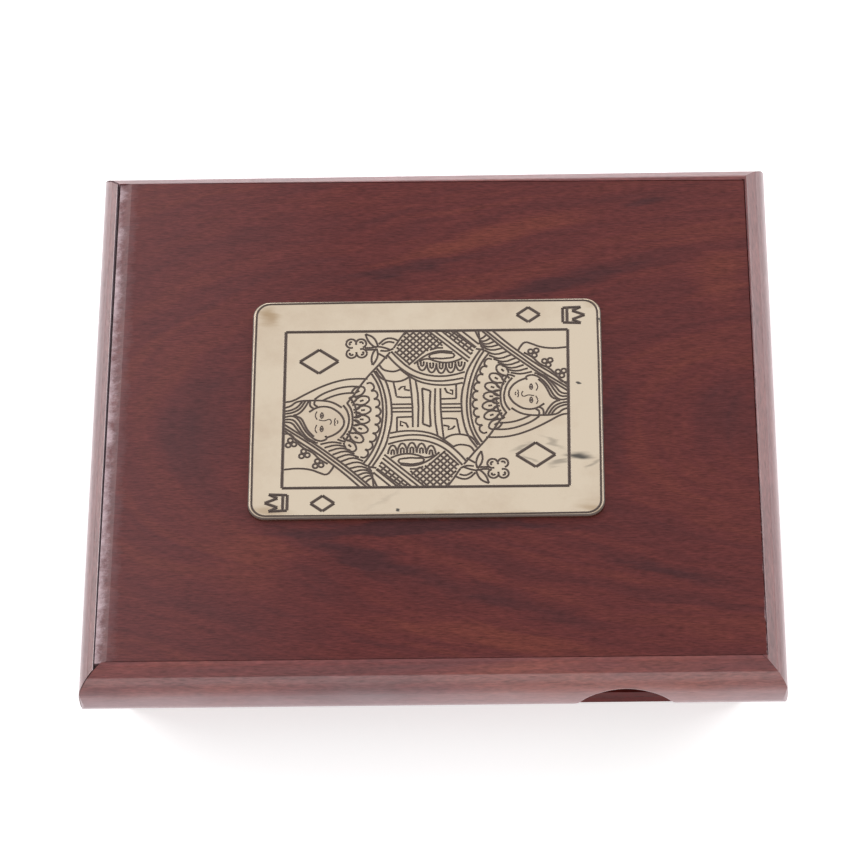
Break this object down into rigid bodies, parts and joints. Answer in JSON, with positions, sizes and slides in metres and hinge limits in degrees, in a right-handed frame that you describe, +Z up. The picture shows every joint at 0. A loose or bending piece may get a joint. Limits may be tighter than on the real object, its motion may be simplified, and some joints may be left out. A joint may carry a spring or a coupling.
{
  "type": "playing card box with drawer",
  "caption": "Low hardwood box with a moulded overhanging rim, an engraved brass plate on its lid panel and a drawer with card wells and a trough that slides out of the left end.",
  "frame": {"origin": "on the table, under the middle of the rim", "axes": "+Z up, +X to the right along the panel's longer side, +Y to the back; the drawer opens towards -X"},
  "size_m": [0.1738, 0.1516, 0.0324],
  "materials": {
    "panel_wood": "satin lacquered reddish-brown hardwood, grain left to right",
    "long_rail_wood": "satin lacquered reddish-brown hardwood, grain left to right",
    "end_rail_wood": "satin lacquered reddish-brown hardwood, grain front to back",
    "wall_wood": "satin lacquered reddish-brown hardwood",
    "base_wood": "matt reddish-brown hardwood board",
    "drawer_wood": "matt oiled reddish-brown hardwood",
    "peg_wood": "plain pale dowel",
    "plate_brass": "polished, engraved and ink-filled",
    "screw_brass": "satin",
    "lining_felt": "short green felt"
  },
  "bodies": {
    "case": {"top_panel": "panel_wood", "front_rail": "long_rail_wood", "back_rail": "long_rail_wood", "end_rail": "end_rail_wood", "front_wall": "wall_wood", "back_wall": "wall_wood", "end_wall": "wall_wood", "base_board": "base_wood", "stop_peg": "peg_wood", "card_plate": "plate_brass", "base_screws": "screw_brass"},
    "drawer": {"drawer_rail": "end_rail_wood", "drawer_front_board": "wall_wood", "drawer_near_side": "drawer_wood", "drawer_far_side": "drawer_wood", "drawer_inner_end": "drawer_wood", "drawer_floor": "drawer_wood", "deck_divider": "drawer_wood", "trough_divider": "drawer_wood", "left_well_lining": "lining_felt", "right_well_lining": "lining_felt", "trough_lining": "lining_felt"}
  },
  "joints": [
    {"name": "drawer_slide", "type": "slide", "parent": "case", "child": "drawer", "axis": [-1, 0, 0], "range_m": [0, 0.115]}
  ]
}
